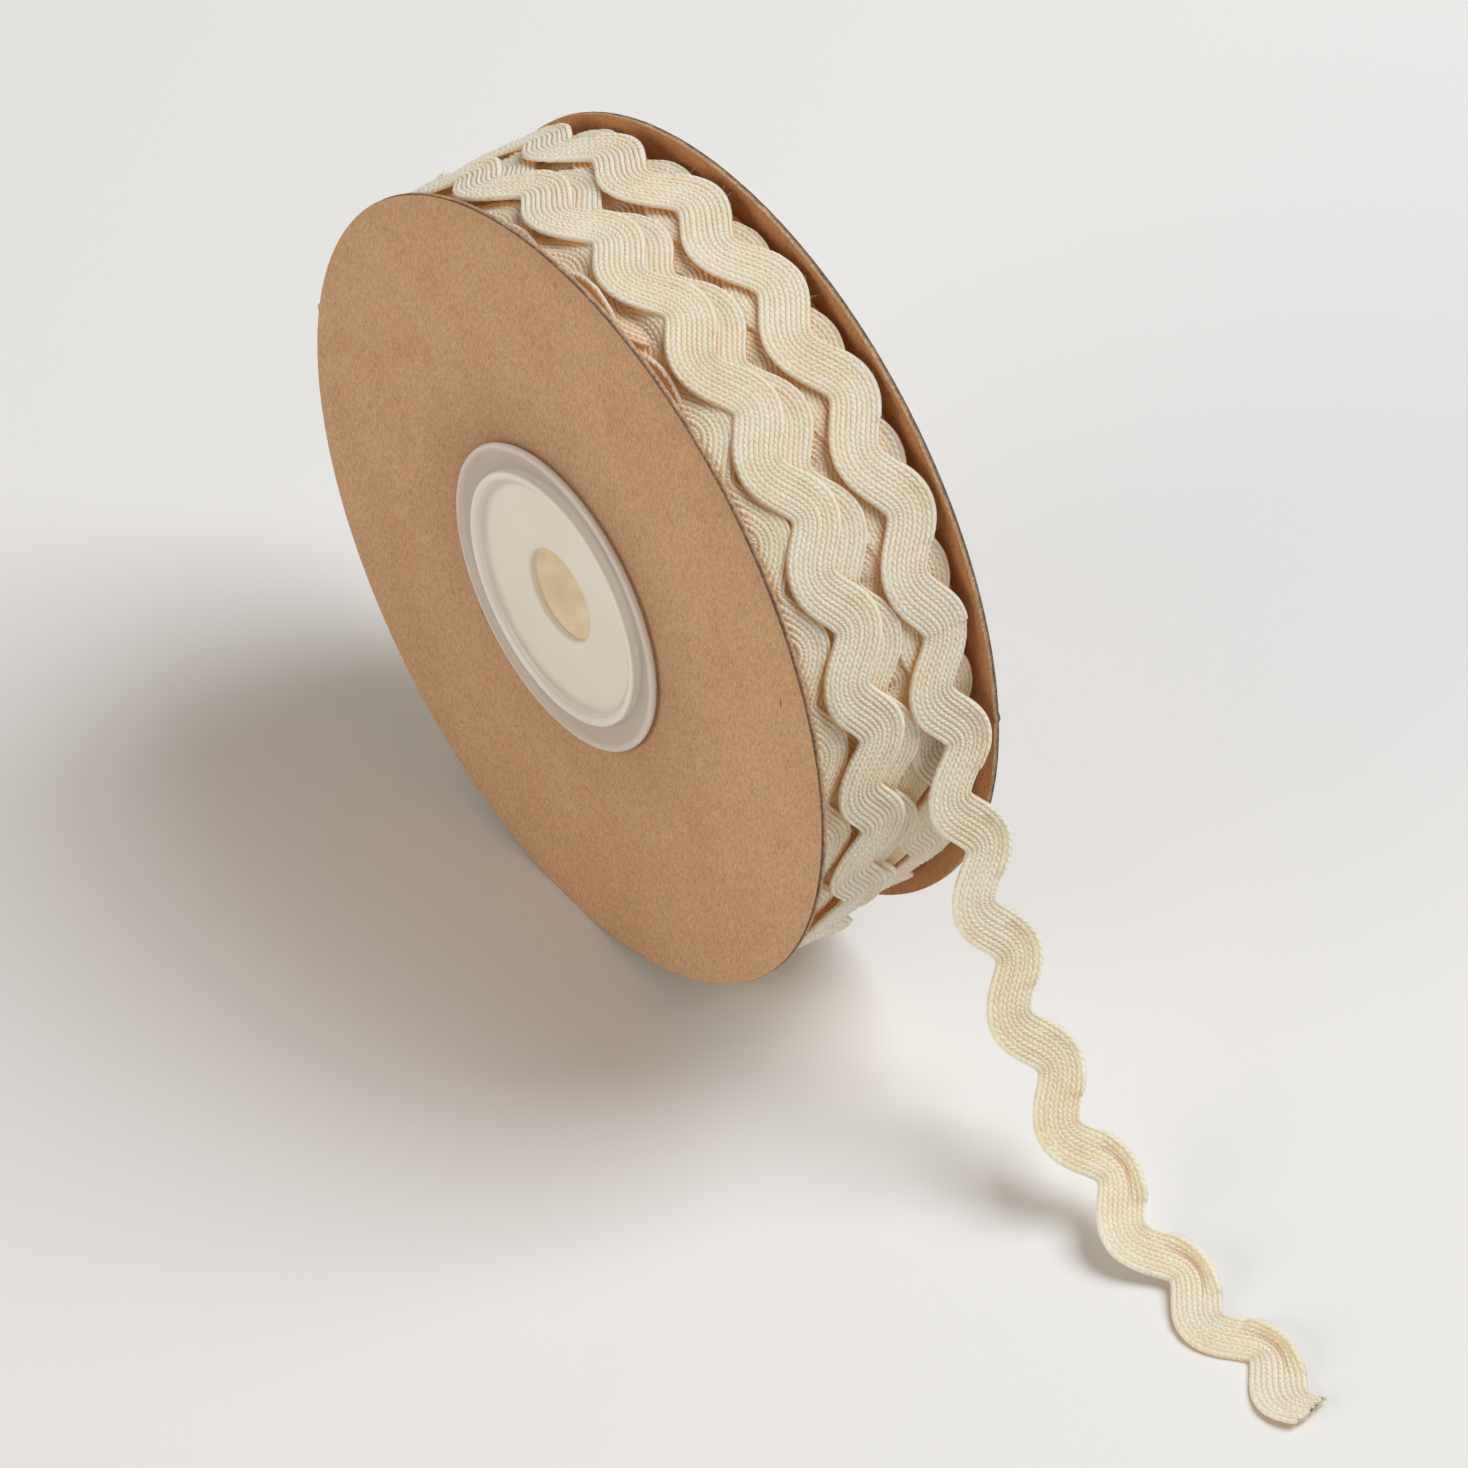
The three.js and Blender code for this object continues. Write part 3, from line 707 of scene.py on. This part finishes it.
def loose_place():
    """Places points of the loose end: flat on the roll at first, its lobes curling up more
    and more towards the cut."""
    points, headings, runs = smooth_route()
    aside = Vector((0, 1, 0))

    def place(waves, side, height):
        leaving = smooth_step(waves)
        shape = {key: lerp(WOUND_WAVE[key], LOOSE_WAVE[key], leaving) for key in LOOSE_WAVE}
        free = smooth_step((waves - 3.6) / 1.6)
        curl = lerp(0.55, 1.2, free)
        bend = lerp(3.0, 0.6, free)
        along, across, up = braid_point(WINDING[0]["wave"] - waves, side, height, shape,
                                        curl * leaving, bend)
        near_cut = max(0.0, 1 - (LOOSE_WAVES - waves))
        frayed = FRAY * near_cut ** 8 * wander(side * 9.0, 4, 1.0)
        run = waves * LOOSE_WAVE["length"] - along + CUT_SLANT * side * near_cut + frayed
        run = min(runs[-1] - 1e-6, max(0.0, run))
        k = bisect.bisect_right(runs, run) - 1
        t = (run - runs[k]) / (runs[k + 1] - runs[k])
        middle = points[k].lerp(points[k + 1], t)
        forward = headings[k].lerp(headings[k + 1], t)
        over = (aside - forward * forward.y).normalized()
        return middle + over * across + forward.cross(over) * up
    return place


def loose_end(cotton):
    """The free end of the braid, hanging off the front and lying on the surface."""
    place = loose_place()
    mesh = braid_mesh(0.0, LOOSE_WAVES, 4 * STITCHES_PER_WAVE, band_section(2), place)
    piece = finish_piece("loose_end_braid", mesh, [cotton], "loose_end")


# The boards


def board(name, side, node, kraft, edge):
    """A die-cut disc with its bore, its flat spot and the nub the die leaves."""
    half = BOARD_THICKNESS / 2
    middle = side * (REEL_WIDTH / 2 - half)
    soft = 0.14
    # Two rings on each face keep its triangles short.
    profile = [
        (BORE_RADIUS, -half), (34.0, -half), (46.0, -half),
        (BOARD_RADIUS - soft, -half), (BOARD_RADIUS - 0.04, -half + 0.05), (BOARD_RADIUS, -half + soft),
        (BOARD_RADIUS, 0.0), (BOARD_RADIUS, half - soft),
        (BOARD_RADIUS - 0.04, half - 0.05), (BOARD_RADIUS - soft, half),
        (46.0, half), (34.0, half), (BORE_RADIUS, half),
    ]
    mesh = lathe(profile, 360)
    floor = -math.sqrt(BOARD_RADIUS ** 2 - (FLAT_SPOT / 2) ** 2)
    nub = math.radians(NUB_ANGLES[name])
    for vertex in mesh.verts:
        radius = math.hypot(vertex.co.x, vertex.co.z)
        if radius < BOARD_RADIUS - 1:
            continue
        angle = math.atan2(vertex.co.z, vertex.co.x)
        off = (angle - nub + math.pi) % (2 * math.pi) - math.pi
        reach = max(0.0, 1 - abs(off) * BOARD_RADIUS / (NUB_WIDTH / 2))
        rough = 0.03 * noise.noise(Vector((math.cos(angle), math.sin(angle), middle)) * 90)
        grown = (radius + NUB_HEIGHT * reach + rough) / radius
        vertex.co.x *= grown
        vertex.co.z = max(floor, vertex.co.z * grown)
    for face in mesh.faces:
        face.material_index = 1 if abs(face.normal.y) < 0.8 else 0
    bmesh.ops.translate(mesh, vec=(AXIS_X, middle, AXIS_Z), verts=mesh.verts)
    finish_piece(name, mesh, [kraft, edge], node)


# The core


def arc(centre, radius, start, end, steps):
    """Points of a round corner in a profile."""
    points = []
    for k in range(steps + 1):
        angle = math.radians(lerp(start, end, k / steps))
        points.append((centre[0] + radius * math.cos(angle), centre[1] + radius * math.sin(angle)))
    return points


def core_plug(name, side, node, plastic):
    """One half of the core: flange, bead, sunk dish with the spindle hole, sleeve."""
    face = REEL_WIDTH / 2 + FIT_GAP
    top = face + FLANGE_THICKNESS
    dish = top - DISH_DEPTH
    inside = SLEEVE_RADIUS - SLEEVE_WALL
    profile = [
        (SPINDLE_RADIUS, dish - DISH_THICKNESS + 0.1),
        (SPINDLE_RADIUS + 0.1, dish - DISH_THICKNESS),
        (inside - 0.4, dish - DISH_THICKNESS),
        (inside, dish - DISH_THICKNESS - 0.4),
        (inside, FIT_GAP / 2),
        (SLEEVE_RADIUS, FIT_GAP / 2),
        (SLEEVE_RADIUS, face - 0.2),
        (SLEEVE_RADIUS + 0.2, face),
    ]
    profile += arc((FLANGE_RADIUS - ROLLED_EDGE, face + ROLLED_EDGE), ROLLED_EDGE, -90, 100, 10)
    profile += [(FLANGE_RADIUS - 1.1, top - 0.1), (FLANGE_RADIUS - 2.0, top - FLANGE_DROP),
                (SLEEVE_RADIUS + BEAD_RADIUS, top - FLANGE_DROP)]
    profile += arc((SLEEVE_RADIUS, top + BEAD_HEIGHT - BEAD_RADIUS), BEAD_RADIUS, 25, 165, 12)
    profile += arc((SLEEVE_RADIUS - 1.85, dish + DISH_FILLET), DISH_FILLET, 0, -90, 8)
    profile += [(SLEEVE_RADIUS - 4.5, dish - 0.08), (SPINDLE_RADIUS + 1.4, dish - 0.02)]
    profile += arc((SPINDLE_RADIUS + 0.25, dish - 0.25), 0.25, 90, 180, 4)
    mesh = lathe([(radius, side * across) for radius, across in profile], 160)
    bmesh.ops.translate(mesh, vec=(AXIS_X, 0, AXIS_Z), verts=mesh.verts)
    finish_piece(name, mesh, [plastic], node)


# Floor, light and camera


def studio():
    """A pale floor, soft light from all round, and a window-like light behind."""
    mesh = bmesh.new()
    bmesh.ops.create_grid(mesh, x_segments=1, y_segments=1, size=2500 * MM)
    data = bpy.data.meshes.new("floor")
    mesh.to_mesh(data)
    mesh.free()
    data.materials.append(pale_floor())
    floor = bpy.data.objects.new("floor", data)
    bpy.context.scene.collection.objects.link(floor)

    world = bpy.data.worlds.new("studio")
    bpy.context.scene.world = world
    world.use_nodes = True
    world.node_tree.nodes["Background"].inputs["Color"].default_value = srgb("#fff6ec")
    world.node_tree.nodes["Background"].inputs["Strength"].default_value = 0.25

    lights = [
        ("window", (395, 765, 1355), 1000, 20.5, "#f7faff"),
        ("fill", (-300, -2350, 760), 1600, 27.0, "#fff5ea"),
    ]
    for name, spot, size, watts, colour in lights:
        light = bpy.data.lights.new(name, "AREA")
        light.shape = "SQUARE"
        light.size = size * MM
        light.energy = watts
        light.color = srgb(colour)[:3]
        lamp = bpy.data.objects.new(name, light)
        lamp.location = Vector(spot) * MM
        aim = Vector((0, 0, 30)) * MM - lamp.location
        lamp.rotation_euler = aim.to_track_quat("-Z", "Y").to_euler()
        bpy.context.scene.collection.objects.link(lamp)
    bpy.context.scene.view_settings.view_transform = "Standard"


def photo_camera():
    """The camera of the photograph, from its fit to the rims, the hole and the loose end."""
    data = bpy.data.cameras.new("camera")
    data.sensor_width = 36
    data.lens = 159.95
    data.clip_start = 0.01
    data.clip_end = 20
    camera = bpy.data.objects.new("camera", data)
    camera.location = Vector((AXIS_X + 464.35, -333.86, 576.17)) * MM
    camera.rotation_euler = (math.radians(90 - 44.175), 0, math.radians(53.259))
    bpy.context.scene.collection.objects.link(camera)
    bpy.context.scene.camera = camera


photo_camera()
cotton = cotton_braid()
kraft = kraft_board()
cut_edge = cut_board_edge()
plastic = milky_polypropylene()
wound_rows(cotton)
winding_drum(cotton)
stray_fibres(cotton)
loose_end(cotton)
for side, where in ((-1, "near"), (1, "far")):
    board(where + "_disc", side, where + "_board", kraft, cut_edge)
    core_plug(where + "_core", side, where + "_plug", plastic)
studio()
